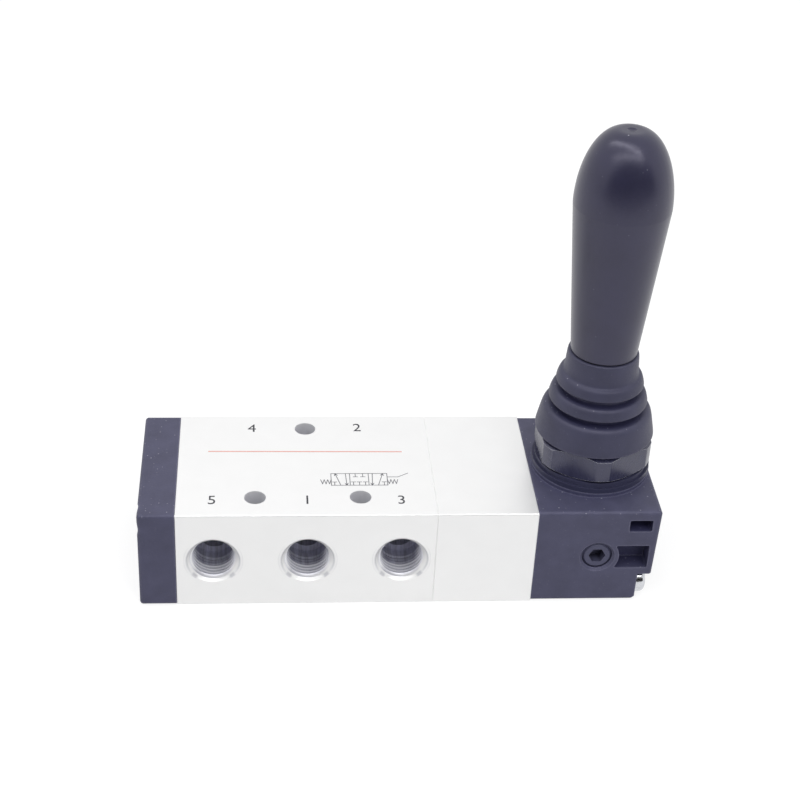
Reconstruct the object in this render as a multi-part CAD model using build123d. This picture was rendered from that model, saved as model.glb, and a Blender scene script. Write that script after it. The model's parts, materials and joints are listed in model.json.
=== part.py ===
from build123d import *
import math
import os

# Hand lever air valve: a five-port, three-position spool valve with 1/8 inch ports.
# A spring-centred spool lies along X in an aluminium body.  A lever, standing in the
# threaded neck of the black housing at the +X end, tilts about a pin along Y and pushes
# the spool through a ball end.
#
# Millimetres.  +Z is up and Z = 0 is the mounting face.  X = 0 and Y = 0 are the middle
# of the valve.  Ports R, P and S open at the front (-Y), A and B at the back (+Y).

# ---------------------------------------------------------------- driving dimensions
WIDTH = 35.0                # across the valve, along Y
HEIGHT = 22.0               # of the body section, along Z
CAP_LENGTH = 7.3            # black end cap
BODY_LENGTH = 51.3          # aluminium valve body
BLOCK_LENGTH = 20.0         # aluminium block that holds the centring springs
HOUSING_INSET = 0.3         # the housing stands back from the body, front and back
HOUSING_MARGIN = 0.6        # the housing is this much longer than the seat on top of it

RUNNING = 0.05              # radial clearance of a part that slides or turns
SLIP = 0.05                 # radial clearance of a part that is only put together
SOFT_GAP = 0.3              # a soft part stays this far from its neighbours
FACE_GAP = 0.1              # end float

# ports and mounting holes
PORT_SHIFT = 0.3            # port P from the middle of the body, towards the lever
PORT_PITCH = 18.6           # R to P and P to S; A and B lie half way between
PORT_R = 4.25               # core radius of the 1/8 inch taper thread
PORT_DEPTH = 8.4
PORT_SINK = 1.05            # countersink at the face, as wide as it is deep
DUCT_R = 2.9                # drilling from the port to the spool
MOUNT_R = 2.15              # through hole for an M4 screw
MOUNT_SPACING = 20.8        # the two front holes, either side of port P
MOUNT_FRONT_INSET = 6.0
MOUNT_BACK_INSET = 4.8

# spool and its seals
BORE_R = 5.0
CHAMBER_RISE = 1.6          # ring groove in the bore behind each port
CHAMBER_WIDTH = 4.3
RELIEF_R = 3.2              # waist of the spool between its lands
LAND_WIDTH = 3.2
SEAL_WIDTH = 1.4
SEAL_HEIGHT = 1.25          # from the floor of its groove to the spool's land
SEAL_RUNNING = 0.03
PRESSURE_SEAL_SHIFT = 1.1   # from the middle of the wall beside P, towards P
EXHAUST_SEAL_SHIFT = 3.6    # from the middle of the wall beside R or S, away from P
END_LAND_GAP = 2.2          # from the middle of R or S to the end land
END_LAND_REACH = 2.4        # end land past the face of the body
END_SEAL_RISE = 2.2         # counterbore that holds an end seal
END_SEAL_WIDTH = 2.2
SPOOL_NOSE = 0.6            # chamfer on the free end
ROD_R = 2.5
ROD_STEP = 0.5              # from the rod down to its clip groove and to its tail
TAIL_LENGTH = 3.8

# centring springs
SPRING_ROOM = 3.0           # the spring chamber is this much wider than the bore
SEAT_THICK = 1.0
SPRING_SPACE = 6.7
COLLAR_THICK = 1.2
COLLAR_WALL = 1.7
SPRING_WIRE_R = 0.45
SPRING_MARGIN = 1.5         # from the chamber wall to the middle of the wire
SPRING_TURNS = 2.5
WIRE_SIDES = 6              # the wire is drawn with flats, near enough to round
CLIP_THICK = 0.7
CLIP_WALL = 1.9
BUSH_WALL = 1.5

# lever mechanism
LEVER_ANGLE = 12.0          # each way
PIVOT_RISE = 2.5            # pivot above the top face
PIVOT_R = 2.0
PIVOT_INSET = 0.3           # pin ends inside the neck
BUSH_SLEEVE = 1.0           # wall of the bush in the hub
HUB_GAP = 0.4               # hub to neck bore
HUB_SIDE_GAP = 1.2          # flat side of the hub to neck bore
FINGER_R = 2.1
BALL_R = 3.0
CAVITY_R = 8.0
YOKE_GAP = 0.6              # yoke to cavity, and to its end at the limit of travel
YOKE_WALL = 1.8             # at each side of the ball's pocket
YOKE_TOP = 3.5              # flat above the spool axis
YOKE_BOSS_WALL = 2.0
YOKE_BOSS = 4.0
YOKE_PIN_R = 0.75
GUIDE_R = 3.0               # M6 set screw
GUIDE_DOG_R = 1.7
GUIDE_SINK = 0.5
GUIDE_EDGE = 0.45           # chamfer on its ends
GUIDE_SOCKET_AF = 3.0
GUIDE_SOCKET_DEPTH = 2.5
GUIDE_GROOVE_DEPTH = 1.6
GUIDE_MOUTH = 0.5           # countersink of its hole in the housing

# neck, nut and washers
NECK_R = 9.9
NECK_WALL = 2.9
NECK_HEIGHT = 11.5
NECK_EDGE = 0.6
SEAT_RIM = 2.2              # moulded round seat under the washers, past the neck
SEAT_HEIGHT = 0.9
WASHER_RIM = 2.1
WASHER_THICK = 1.1
LOCK_WASHER_RIM = 1.6
LOCK_WASHER_THICK = 1.0
LOCK_WASHER_GAP = 1.0
LOCK_WASHER_TURN = 35.0
NUT_WALL = 1.1              # at the flats
NUT_HEIGHT = 6.0
NUT_TURN = 5.0              # how far a corner points from the front, towards the end
NUT_FACE = 0.97             # its round bearing face, as a share of its width
NUT_CHAMFER = 30.0

# lever rod, handle and boot
ROD_TOP_R = 3.5
THREAD_R = 3.0              # M6
THREAD_LENGTH = 19.0
THREAD_LEAD = 1.4           # from the plain rod to the handle
THREAD_EDGE = 0.5
INSERT_WALL = 1.6
HANDLE_LENGTH = 46.4        # from its shoulder to its top
HANDLE_LOW_R = 6.6
HANDLE_HIGH_R = 9.35
DOME_HEIGHT = 15.0
TIP_R = 2.0
GATE_R = 2.0                # ball that forms the dimple in the tip
GATE_DEPTH = 0.25
SPIGOT_STEP = 1.0           # the boot sits in this step under the shoulder
SPIGOT_LENGTH = 6.2
BOOT_WALL = 1.2
BOOT_HEIGHT = 18.2
BOOT_SLEEVE = 4.1           # plain sleeve at the top of the boot
BOOT_SKIRT = 7.0            # skirt at the foot of the boot
BOOT_RINGS = 2

# moulded housing
HOUSING_DRAFT = 0.7         # the outer end leans in by this much, top to bottom
POCKET_DEPTH = 4.0
POCKET_EDGE = 0.3
POCKET_END = 1.75           # wall between the pockets and the outer end
UPPER_POCKET = 4.6          # length and height of the upper pocket
UPPER_POCKET_HEIGHT = 2.7
UPPER_POCKET_DROP = 2.0     # under the top face
LOWER_POCKET_HEIGHT = 5.5
BOSS_WALL = 1.4             # round the guide screw, left by the lower pocket
NOTCH_DEPTH = 3.4
NOTCH_GAP = 0.5
NOTCH_LEAD = 0.9            # chamfer where a notch opens under or over the housing
EDGE_R = 0.7                # moulded edges
BODY_EDGE_R = 0.35          # drawn aluminium edges
SAWN_EDGE = 0.12            # chamfer round each sawn end of the aluminium

# screws
SCREW_R = 1.5               # M3
SCREW_HEAD_RIM = 1.3
SCREW_HEAD = 2.2
SCREW_HEAD_EDGE = 0.7
SCREW_INSET = 3.3           # from the two nearest faces
SCREW_BITE = 8.0
CAP_HEAD_FLOOR = 3.6        # cap left under a screw head

# ------------------------------------------------------------------ derived places
AXIS_Z = HEIGHT / 2
SEAT_R = NECK_R + SEAT_RIM
HOUSING_LENGTH = 2 * SEAT_R + HOUSING_MARGIN
TOTAL = CAP_LENGTH + BODY_LENGTH + BLOCK_LENGTH + HOUSING_LENGTH
CAP_X = -TOTAL / 2
BODY_X = CAP_X + CAP_LENGTH
BLOCK_X = BODY_X + BODY_LENGTH
HOUSING_X = BLOCK_X + BLOCK_LENGTH
END_X = TOTAL / 2
FRONT = -WIDTH / 2
BACK = WIDTH / 2
HOUSING_HALF = WIDTH / 2 - HOUSING_INSET

PORT_P = BODY_X + BODY_LENGTH / 2 + PORT_SHIFT
PORTS_FRONT = [PORT_P - PORT_PITCH, PORT_P, PORT_P + PORT_PITCH]
PORTS_BACK = [PORT_P - PORT_PITCH / 2, PORT_P + PORT_PITCH / 2]

LAND_R = BORE_R - RUNNING
SPOOL_LEFT = BODY_X - END_LAND_REACH
SPOOL_RIGHT = BLOCK_X + END_LAND_REACH
SEAL_GROOVE_R = LAND_R - SEAL_HEIGHT
END_SEAL_R = BORE_R + END_SEAL_RISE
SPRING_CHAMBER_R = BORE_R + SPRING_ROOM
SPRING_MEAN_R = SPRING_CHAMBER_R - SPRING_MARGIN
BUSH_R = ROD_R + BUSH_WALL
TAIL_R = ROD_R - ROD_STEP
COLLAR_X = BLOCK_X + SEAT_THICK + SPRING_SPACE
CLIP_X = COLLAR_X + COLLAR_THICK
SEAT_FAR_X = CLIP_X + SPRING_SPACE
BLOCK_WALL_X = SEAT_FAR_X + SEAT_THICK

LEVER_X = END_X - SEAT_R
PIVOT_Z = HEIGHT + PIVOT_RISE
ARM = PIVOT_Z - AXIS_Z
STROKE = ARM * math.radians(LEVER_ANGLE)
NECK_BORE_R = NECK_R - NECK_WALL
NECK_TOP = HEIGHT + NECK_HEIGHT
HUB_R = NECK_BORE_R - HUB_GAP
HUB_HALF_WIDTH = NECK_BORE_R - HUB_SIDE_GAP
LEVER_BUSH_R = PIVOT_R + BUSH_SLEEVE
YOKE_R = CAVITY_R - YOKE_GAP
YOKE_LEFT = LEVER_X - BALL_R - YOKE_WALL
YOKE_RIGHT = LEVER_X + BALL_R + YOKE_WALL
YOKE_BOSS_R = TAIL_R + YOKE_BOSS_WALL
TAIL_X = YOKE_LEFT - YOKE_BOSS
YOKE_PIN_X = TAIL_X + YOKE_BOSS / 2
CAVITY_END_X = YOKE_RIGHT + STROKE + YOKE_GAP

SEAT_TOP = HEIGHT + SEAT_HEIGHT
WASHER_TOP = SEAT_TOP + WASHER_THICK
NUT_Z = WASHER_TOP + LOCK_WASHER_THICK
NUT_TOP = NUT_Z + NUT_HEIGHT
NUT_AF = 2 * (NECK_R + NUT_WALL)
BOOT_Z = NUT_TOP + FACE_GAP
BOOT_TOP = BOOT_Z + BOOT_HEIGHT
HANDLE_SHOULDER_Z = BOOT_TOP + SOFT_GAP
HANDLE_TOP = HANDLE_SHOULDER_Z + HANDLE_LENGTH
SPIGOT_R = HANDLE_LOW_R - SPIGOT_STEP
INSERT_BOTTOM = HANDLE_SHOULDER_Z - SPIGOT_LENGTH
INSERT_R = THREAD_R + INSERT_WALL
THREAD_START = INSERT_BOTTOM - THREAD_LEAD
THREAD_TOP = THREAD_START + THREAD_LENGTH
INSERT_TOP = THREAD_TOP + 1.0

SCREW_HEAD_R = SCREW_R + SCREW_HEAD_RIM
SCREW_Y = WIDTH / 2 - SCREW_INSET
SCREW_LOW = SCREW_INSET
SCREW_HIGH = HEIGHT - SCREW_INSET
NOTCH_SIDE = SCREW_INSET + SCREW_HEAD_R + NOTCH_GAP
LEVER_SCREWS = [(-SCREW_Y, SCREW_LOW), (SCREW_Y, SCREW_HIGH)]
CAP_SCREWS = [(-SCREW_Y, SCREW_HIGH), (SCREW_Y, SCREW_LOW)]


# ------------------------------------------------------------------------- helpers
def span(a, b):
    """Two places in rising order."""
    return min(a, b), max(a, b)


def block(x0, x1, y0, y1, z0, z1):
    """A box between two corners."""
    return Pos((x0 + x1) / 2, (y0 + y1) / 2, (z0 + z1) / 2) * Box(x1 - x0, y1 - y0, z1 - z0)


def rod_x(radius, x0, x1, y=0.0, z=AXIS_Z):
    """A cylinder along X, about the spool axis unless y and z say otherwise."""
    return Pos((x0 + x1) / 2, y, z) * Rot(0, 90, 0) * Cylinder(radius, x1 - x0)


def rod_y(radius, y0, y1, x, z):
    """A cylinder along Y."""
    return Pos(x, (y0 + y1) / 2, z) * Rot(90, 0, 0) * Cylinder(radius, y1 - y0)


def rod_z(radius, z0, z1, x=LEVER_X, y=0.0):
    """A cylinder along Z, about the lever axis unless x and y say otherwise."""
    return Pos(x, y, (z0 + z1) / 2) * Cylinder(radius, z1 - z0)


def ring_x(outer, inner, x0, x1):
    """A ring about the spool axis."""
    return rod_x(outer, x0, x1) - rod_x(inner, x0 - 1, x1 + 1)


def ring_z(outer, inner, z0, z1):
    """A ring about the lever axis."""
    return rod_z(outer, z0, z1) - rod_z(inner, z0 - 1, z1 + 1)


def round_edges(shape, axis):
    """The circular edges of a turned piece, in order along an axis."""
    return shape.edges().filter_by(GeomType.CIRCLE).sort_by(axis)


def lathe_x(steps):
    """Turn a stepped bar about the spool axis from (end of the step, radius) pairs."""
    x = steps[0][0]
    points = [(x, 0)]
    for end, radius in steps[1:]:
        points += [(x, radius), (end, radius)]
        x = end
    points.append((x, 0))
    profile = Plane.XZ * make_face(Polyline(*points, close=True))
    return Pos(0, 0, AXIS_Z) * revolve(profile, Axis.X, 360)


def lathe_z(profile):
    """Turn a flat profile, drawn as (radius, height), about the lever axis."""
    return Pos(LEVER_X, 0, 0) * revolve(Plane.XZ * profile, Axis.Z, 360)


def pan_screw(head_x, y, z, length, towards):
    """A screw along X: its head stands outside head_x and its shank runs inwards."""
    head_end = head_x - towards * SCREW_HEAD
    head = rod_x(SCREW_HEAD_R, *span(head_x, head_end), y, z)
    rim = round_edges(head, Axis.X)[0 if towards > 0 else -1]
    head = chamfer(rim, SCREW_HEAD_EDGE)
    return head + rod_x(SCREW_R, *span(head_x, head_x + towards * length), y, z)


def countersink(radius, sink, x, face):
    """The cone that opens a hole along Y where it meets a face at the front or back."""
    side = math.copysign(1, face)
    cone = Rot(side * -90, 0, 0) * Cone(radius, radius + sink, sink)
    return Pos(x, face - side * sink / 2, AXIS_Z) * cone


# ------------------------------------------------------------------ body and its ends
def port(x, side):
    """The space of one port: countersink, core hole and duct.  side is -1 front, 1 back."""
    face = side * WIDTH / 2
    deep = face - side * PORT_DEPTH
    hole = rod_y(PORT_R, *span(face, deep), x, AXIS_Z)
    duct = rod_y(DUCT_R, *span(deep, 0), x, AXIS_Z)
    return hole + countersink(PORT_R, PORT_SINK, x, face) + duct


def mounting_holes():
    """Places of the three mounting holes: two at the front, one at the back."""
    front_y = FRONT + MOUNT_FRONT_INSET
    back_y = BACK - MOUNT_BACK_INSET
    half = MOUNT_SPACING / 2
    return [(PORT_P - half, front_y), (PORT_P + half, front_y), (PORT_P, back_y)]


def drawn_block(x0, x1):
    """A length of the aluminium section, with its drawn edges."""
    body = block(x0, x1, FRONT, BACK, 0, HEIGHT)
    body = fillet(body.edges().filter_by(Axis.X), BODY_EDGE_R)
    ends = body.edges().group_by(Axis.X)
    return chamfer(ends[0] + ends[-1], SAWN_EDGE)


def valve_body():
    """Drawn aluminium block with the spool bore, five ports and three mounting holes."""
    body = drawn_block(BODY_X, BLOCK_X)
    body -= rod_x(BORE_R, BODY_X - 1, BLOCK_X + 1)
    for x in PORTS_FRONT + PORTS_BACK:
        half = CHAMBER_WIDTH / 2
        body -= rod_x(BORE_R + CHAMBER_RISE, x - half, x + half)
    body -= rod_x(END_SEAL_R, BODY_X - 1, BODY_X + END_SEAL_WIDTH)
    body -= rod_x(END_SEAL_R, BLOCK_X - END_SEAL_WIDTH, BLOCK_X + 1)
    for x in PORTS_FRONT:
        body -= port(x, -1)
    for x in PORTS_BACK:
        body -= port(x, 1)
    for x, y in mounting_holes():
        body -= rod_z(MOUNT_R, -1, HEIGHT + 1, x, y)
    for y, z in LEVER_SCREWS:
        body -= rod_x(SCREW_R + SLIP, BLOCK_X - SCREW_BITE - 1, BLOCK_X + 1, y, z)
    for y, z in CAP_SCREWS:
        body -= rod_x(SCREW_R + SLIP, BODY_X - 1, BODY_X + SCREW_BITE + 1, y, z)
    return body


def end_cap():
    """Moulded cap at the far end, with a pocket for the end of the spool."""
    cap = block(CAP_X, BODY_X, FRONT, BACK, 0, HEIGHT)
    outer_face = cap.faces().sort_by(Axis.X)[0]
    cap = fillet(cap.edges().filter_by(Axis.X) + outer_face.edges(), EDGE_R)
    pocket_end = SPOOL_LEFT - STROKE - SOFT_GAP
    cap -= rod_x(BORE_R + SOFT_GAP, pocket_end, BODY_X + 1)
    for y, z in CAP_SCREWS:
        cap -= rod_x(SCREW_R + SLIP, CAP_X - 1, BODY_X + 1, y, z)
        cap -= rod_x(SCREW_HEAD_R + SOFT_GAP, CAP_X - 1, BODY_X - CAP_HEAD_FLOOR, y, z)
    return cap


def end_cap_screws():
    """The two screws that hold the end cap."""
    length = CAP_HEAD_FLOOR + SCREW_BITE
    return [pan_screw(BODY_X - CAP_HEAD_FLOOR, y, z, length, 1) for y, z in CAP_SCREWS]


def centring_block():
    """Aluminium block with the spring chamber and the wall that carries the rod bush."""
    body = drawn_block(BLOCK_X, HOUSING_X)
    body -= rod_x(SPRING_CHAMBER_R, BLOCK_X - 1, BLOCK_WALL_X)
    body -= rod_x(BUSH_R, BLOCK_WALL_X - 1, HOUSING_X + 1)
    for y, z in LEVER_SCREWS:
        body -= rod_x(SCREW_R + SLIP, BLOCK_X - 1, HOUSING_X + 1, y, z)
    return body


def end_seals():
    """Rings in the two ends of the body, that seal the end lands of the spool."""
    inner = LAND_R + SEAL_RUNNING
    left = ring_x(END_SEAL_R, inner, BODY_X, BODY_X + END_SEAL_WIDTH)
    right = ring_x(END_SEAL_R, inner, BLOCK_X - END_SEAL_WIDTH, BLOCK_X)
    return [left, right]


# ----------------------------------------------------------------- spool and springs
def seal_places():
    """Middle of each moving seal: two beside P, and one each beside R and S."""
    quarter = PORT_PITCH / 4
    near = quarter - PRESSURE_SEAL_SHIFT
    far = 3 * quarter + EXHAUST_SEAL_SHIFT
    return [PORT_P - far, PORT_P - near, PORT_P + near, PORT_P + far]


def spool():
    """Turned spool with end lands, four seal lands and the rod to the lever yoke."""
    steps = [(SPOOL_LEFT, 0), (PORTS_FRONT[0] - END_LAND_GAP, LAND_R)]
    for x in seal_places():
        steps += [(x - LAND_WIDTH / 2, RELIEF_R), (x - SEAL_WIDTH / 2, LAND_R)]
        steps += [(x + SEAL_WIDTH / 2, SEAL_GROOVE_R), (x + LAND_WIDTH / 2, LAND_R)]
    steps += [(PORTS_FRONT[2] + END_LAND_GAP, RELIEF_R), (SPOOL_RIGHT, LAND_R)]
    steps += [(CLIP_X, ROD_R), (CLIP_X + CLIP_THICK, ROD_R - ROD_STEP)]
    steps += [(TAIL_X, ROD_R), (TAIL_X + TAIL_LENGTH, TAIL_R)]
    bar = lathe_x(steps)
    bar = chamfer(round_edges(bar, Axis.X)[0], SPOOL_NOSE)
    return bar - rod_z(YOKE_PIN_R, AXIS_Z - BORE_R, AXIS_Z + BORE_R, YOKE_PIN_X)


def spool_seals():
    """The four seal rings in the grooves of the spool."""
    half = SEAL_WIDTH / 2
    return [ring_x(BORE_R - SEAL_RUNNING, SEAL_GROOVE_R, x - half, x + half)
            for x in seal_places()]


def spring_seats():
    """Two washers that carry the outer ends of the springs."""
    outer = SPRING_CHAMBER_R - SLIP
    near = ring_x(outer, BORE_R + SOFT_GAP, BLOCK_X, BLOCK_X + SEAT_THICK)
    far = ring_x(outer, ROD_R + SOFT_GAP, SEAT_FAR_X, BLOCK_WALL_X)
    return [near, far]


def spring(x0, x1):
    """One coil spring along X between two faces."""
    length = x1 - x0 - 2 * (SPRING_WIRE_R + FACE_GAP)
    path = Helix(length / SPRING_TURNS, length, SPRING_MEAN_R)
    start = Plane(origin=path @ 0, z_dir=path % 0)
    wire = sweep(start * RegularPolygon(SPRING_WIRE_R, WIRE_SIDES), path=path)
    return Pos(x0 + SPRING_WIRE_R + FACE_GAP, 0, AXIS_Z) * Rot(0, 90, 0) * wire


def centring_collar():
    """Flanged sleeve on the rod, between the two springs."""
    sleeve = rod_x(ROD_R + COLLAR_WALL, SPOOL_RIGHT, COLLAR_X)
    flange = rod_x(SPRING_CHAMBER_R - SOFT_GAP, COLLAR_X, CLIP_X)
    return sleeve + flange - rod_x(ROD_R + SLIP, SPOOL_RIGHT - 1, CLIP_X + 1)


def collar_clip():
    """Clip in the groove of the rod, that keeps the collar on."""
    groove_r = ROD_R - ROD_STEP
    ring = ring_x(groove_r + CLIP_WALL, groove_r + SLIP, CLIP_X, CLIP_X + CLIP_THICK)
    half_mouth = groove_r * 0.75
    mouth = block(CLIP_X - 1, CLIP_X + CLIP_THICK + 1, -half_mouth, half_mouth, 0, AXIS_Z)
    return ring - mouth


def rod_bush():
    """Bush in the wall of the block, that guides the rod."""
    return ring_x(BUSH_R, ROD_R + RUNNING, BLOCK_WALL_X, HOUSING_X)


# ------------------------------------------------------------------- lever mechanism
def drive_yoke():
    """Block on the end of the spool, with the pocket for the ball of the lever."""
    yoke = rod_x(YOKE_R, YOKE_LEFT, YOKE_RIGHT)
    yoke -= block(YOKE_LEFT - 1, YOKE_RIGHT + 1, -YOKE_R, YOKE_R, AXIS_Z + YOKE_TOP, HEIGHT)
    yoke += rod_x(YOKE_BOSS_R, TAIL_X, YOKE_LEFT)
    yoke -= rod_x(TAIL_R + SLIP, TAIL_X - 1, TAIL_X + TAIL_LENGTH + FACE_GAP)
    reach = BALL_R + RUNNING
    wide = BALL_R + SOFT_GAP
    yoke -= block(LEVER_X - reach, LEVER_X + reach, -wide, wide, AXIS_Z - wide, HEIGHT)
    groove = GUIDE_DOG_R + 2 * RUNNING
    for side in (-1, 1):
        y0, y1 = span(side * (YOKE_R - GUIDE_GROOVE_DEPTH), side * (YOKE_R + 1))
        yoke -= block(YOKE_LEFT - 1, YOKE_RIGHT + 1, y0, y1, AXIS_Z - groove, AXIS_Z + groove)
    return yoke - rod_z(YOKE_PIN_R, AXIS_Z - YOKE_R, AXIS_Z + YOKE_R, YOKE_PIN_X)


def yoke_pin():
    """Cross pin through the boss of the yoke and the tail of the spool."""
    half = YOKE_BOSS_R - FACE_GAP
    return rod_z(YOKE_PIN_R, AXIS_Z - half, AXIS_Z + half, YOKE_PIN_X)


def guide_screws():
    """Two set screws, front and back, whose points run in the grooves of the yoke."""
    screws = []
    outer = HOUSING_HALF - GUIDE_SINK
    inner = CAVITY_R + 2 * FACE_GAP
    point = YOKE_R - GUIDE_GROOVE_DEPTH + SOFT_GAP
    hexagon = RegularPolygon(GUIDE_SOCKET_AF / 2, 6, major_radius=False)
    for side in (-1, 1):
        screw = rod_y(GUIDE_R, *span(side * outer, side * inner), LEVER_X, AXIS_Z)
        screw = chamfer(round_edges(screw, Axis.Y), GUIDE_EDGE)
        screw += rod_y(GUIDE_DOG_R, *span(side * inner, side * point), LEVER_X, AXIS_Z)
        socket = Rot(90 * side, 0, 0) * extrude(hexagon, GUIDE_SOCKET_DEPTH)
        screws.append(screw - Pos(LEVER_X, side * outer, AXIS_Z) * socket)
    return screws


def pivot_pin():
    """Pin across the neck, that the lever turns on."""
    half = NECK_R - PIVOT_INSET
    pin = rod_y(PIVOT_R, -half, half, LEVER_X, PIVOT_Z)
    return chamfer(round_edges(pin, Axis.Y), PIVOT_INSET)


def lever_bush():
    """Bush pressed through the hub of the lever."""
    half = HUB_HALF_WIDTH
    bush = rod_y(LEVER_BUSH_R, -half, half, LEVER_X, PIVOT_Z)
    return bush - rod_y(PIVOT_R + RUNNING, -half - 1, half + 1, LEVER_X, PIVOT_Z)


def lever_rod():
    """Turned lever: ball end, finger, flat-sided hub and the threaded rod for the handle."""
    outline = Pos(0, AXIS_Z) * Circle(BALL_R) + Pos(0, PIVOT_Z) * Circle(HUB_R)
    for radius, z0, z1 in ((FINGER_R, AXIS_Z, PIVOT_Z), (ROD_TOP_R, PIVOT_Z, THREAD_START),
                           (THREAD_R, THREAD_START, THREAD_TOP)):
        outline += Pos(0, (z0 + z1) / 2) * Rectangle(2 * radius, z1 - z0)
    outline &= Pos(HUB_R / 2, THREAD_TOP / 2) * Rectangle(HUB_R, THREAD_TOP)
    rod = lathe_z(outline)
    rod = chamfer(round_edges(rod, Axis.Z)[-1], THREAD_EDGE)
    for y in (HUB_HALF_WIDTH, -2 * HUB_R):
        rod -= block(LEVER_X - 2 * HUB_R, LEVER_X + 2 * HUB_R, y, y + 2 * HUB_R - HUB_HALF_WIDTH,
                     0, THREAD_TOP + 1)
    return rod - rod_y(LEVER_BUSH_R, -HUB_R, HUB_R, LEVER_X, PIVOT_Z)


# ------------------------------------------------------------------ neck and housing
def side_pockets(side):
    """Cored pockets in one long face of the housing, beside the guide screw."""
    face = side * HOUSING_HALF
    y0, y1 = span(face + side, face - side * POCKET_DEPTH)
    right = END_X - POCKET_END
    top = HEIGHT - UPPER_POCKET_DROP
    upper = block(right - UPPER_POCKET, right, y0, y1, top - UPPER_POCKET_HEIGHT, top)
    half = LOWER_POCKET_HEIGHT / 2
    lower = block(LEVER_X, right, y0, y1, AXIS_Z - half, AXIS_Z + half)
    lower -= rod_y(GUIDE_R + BOSS_WALL, y0 - 1, y1 + 1, LEVER_X, AXIS_Z)
    pockets = []
    for pocket in (upper, lower):
        pockets.append(fillet(pocket.edges().filter_by(Axis.Y), POCKET_EDGE))
    return pockets


def screw_notch(y, z):
    """The corner notch that a screw head stands in, open to the side and below or above."""
    y_side = math.copysign(1, y)
    z_side = math.copysign(1, z - AXIS_Z)
    z_face = HEIGHT if z_side > 0 else 0
    y0, y1 = span(y_side * (HOUSING_HALF + 1), y_side * (WIDTH / 2 - NOTCH_SIDE))
    z0, z1 = span(z_face + z_side, z_face - z_side * NOTCH_SIDE)
    notch = block(END_X - NOTCH_DEPTH, END_X + 1, y0, y1, z0, z1)
    lead = Box(NOTCH_LEAD * math.sqrt(2), y1 - y0, NOTCH_LEAD * math.sqrt(2))
    return notch + Pos(END_X - NOTCH_DEPTH, (y0 + y1) / 2, z_face) * Rot(0, 45, 0) * lead


def lever_housing():
    """Moulded housing with the threaded neck, cored pockets and screw notches."""
    side = Polyline((HOUSING_X, 0), (HOUSING_X, HEIGHT), (END_X, HEIGHT),
                    (END_X - HOUSING_DRAFT, 0), close=True)
    shell = extrude(Plane.XZ * make_face(side), HOUSING_HALF, both=True)
    inner_face = shell.edges().group_by(Axis.X)[0]
    shell = fillet(shell.edges() - inner_face, EDGE_R)
    for y, z in LEVER_SCREWS:
        shell -= screw_notch(y, z)
        shell -= rod_x(SCREW_R + SLIP, HOUSING_X - 1, END_X, y, z)
    for pocket in side_pockets(-1) + side_pockets(1):
        shell -= pocket
    shell += rod_z(SEAT_R, HEIGHT, SEAT_TOP)
    neck = rod_z(NECK_R, HEIGHT, NECK_TOP)
    shell += chamfer(round_edges(neck, Axis.Z)[-1], NECK_EDGE)
    shell -= rod_z(NECK_BORE_R, AXIS_Z, NECK_TOP + 1)
    shell -= rod_x(CAVITY_R, HOUSING_X - 1, CAVITY_END_X)
    shell -= rod_y(PIVOT_R + SLIP, -NECK_R - 1, NECK_R + 1, LEVER_X, PIVOT_Z)
    shell -= rod_y(GUIDE_R + SLIP, FRONT - 1, BACK + 1, LEVER_X, AXIS_Z)
    for face in (-HOUSING_HALF, HOUSING_HALF):
        shell -= countersink(GUIDE_R + SLIP, GUIDE_MOUTH, LEVER_X, face)
    return shell


def housing_screws():
    """The two long screws through the housing and the block into the body."""
    head_x = END_X - NOTCH_DEPTH
    length = head_x - BLOCK_X + SCREW_BITE
    return [pan_screw(head_x, y, z, length, -1) for y, z in LEVER_SCREWS]


def neck_washer():
    """Flat washer on the seat of the housing."""
    return ring_z(NECK_R + WASHER_RIM, NECK_R + SLIP, SEAT_TOP, WASHER_TOP)


def lock_washer():
    """Split lock washer under the nut."""
    outer = NECK_R + LOCK_WASHER_RIM
    ring = ring_z(outer, NECK_R + SLIP, WASHER_TOP, NUT_Z)
    half = LOCK_WASHER_GAP / 2
    split = block(NECK_R - 1, outer + 1, -half, half, WASHER_TOP - 1, NUT_Z + 1)
    return ring - Pos(LEVER_X, 0, 0) * Rot(0, 0, LOCK_WASHER_TURN) * split


def neck_nut():
    """Hexagon nut on the neck, chamfered on both faces."""
    hexagon = extrude(RegularPolygon(NUT_AF / 2, 6, major_radius=False), NUT_HEIGHT)
    corner = NUT_AF / math.sqrt(3)
    face_r = NUT_AF / 2 * NUT_FACE
    drop = (corner - face_r) * math.tan(math.radians(NUT_CHAMFER))
    outline = Polyline((0, 0), (face_r, 0), (corner, drop), (corner, NUT_HEIGHT - drop),
                       (face_r, NUT_HEIGHT), (0, NUT_HEIGHT), close=True)
    nut = hexagon & revolve(Plane.XZ * make_face(outline), Axis.Z, 360)
    nut -= Cylinder(NECK_R + SLIP, 3 * NUT_HEIGHT)
    return Pos(LEVER_X, 0, NUT_Z) * Rot(0, 0, NUT_TURN - 90) * nut


# -------------------------------------------------------------------- handle and boot
def lever_handle():
    """Tapered moulded handle with a domed top and a spigot for the boot."""
    dome_z = HANDLE_TOP - DOME_HEIGHT
    stem = Polyline((0, HANDLE_TOP), (0, INSERT_BOTTOM), (SPIGOT_R, INSERT_BOTTOM),
                    (SPIGOT_R, HANDLE_SHOULDER_Z), (HANDLE_LOW_R, HANDLE_SHOULDER_Z),
                    (HANDLE_HIGH_R, dome_z))
    reach = HANDLE_HIGH_R - TIP_R
    dome = EllipticalCenterArc((TIP_R, dome_z), reach, DOME_HEIGHT, 0, arc_size=90)
    tip = Line((TIP_R, HANDLE_TOP), (0, HANDLE_TOP))
    handle = lathe_z(make_face(stem + dome + tip))
    handle -= Pos(LEVER_X, 0, HANDLE_TOP + GATE_R - GATE_DEPTH) * Sphere(GATE_R)
    return handle - rod_z(INSERT_R, INSERT_BOTTOM - 1, INSERT_TOP)


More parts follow.
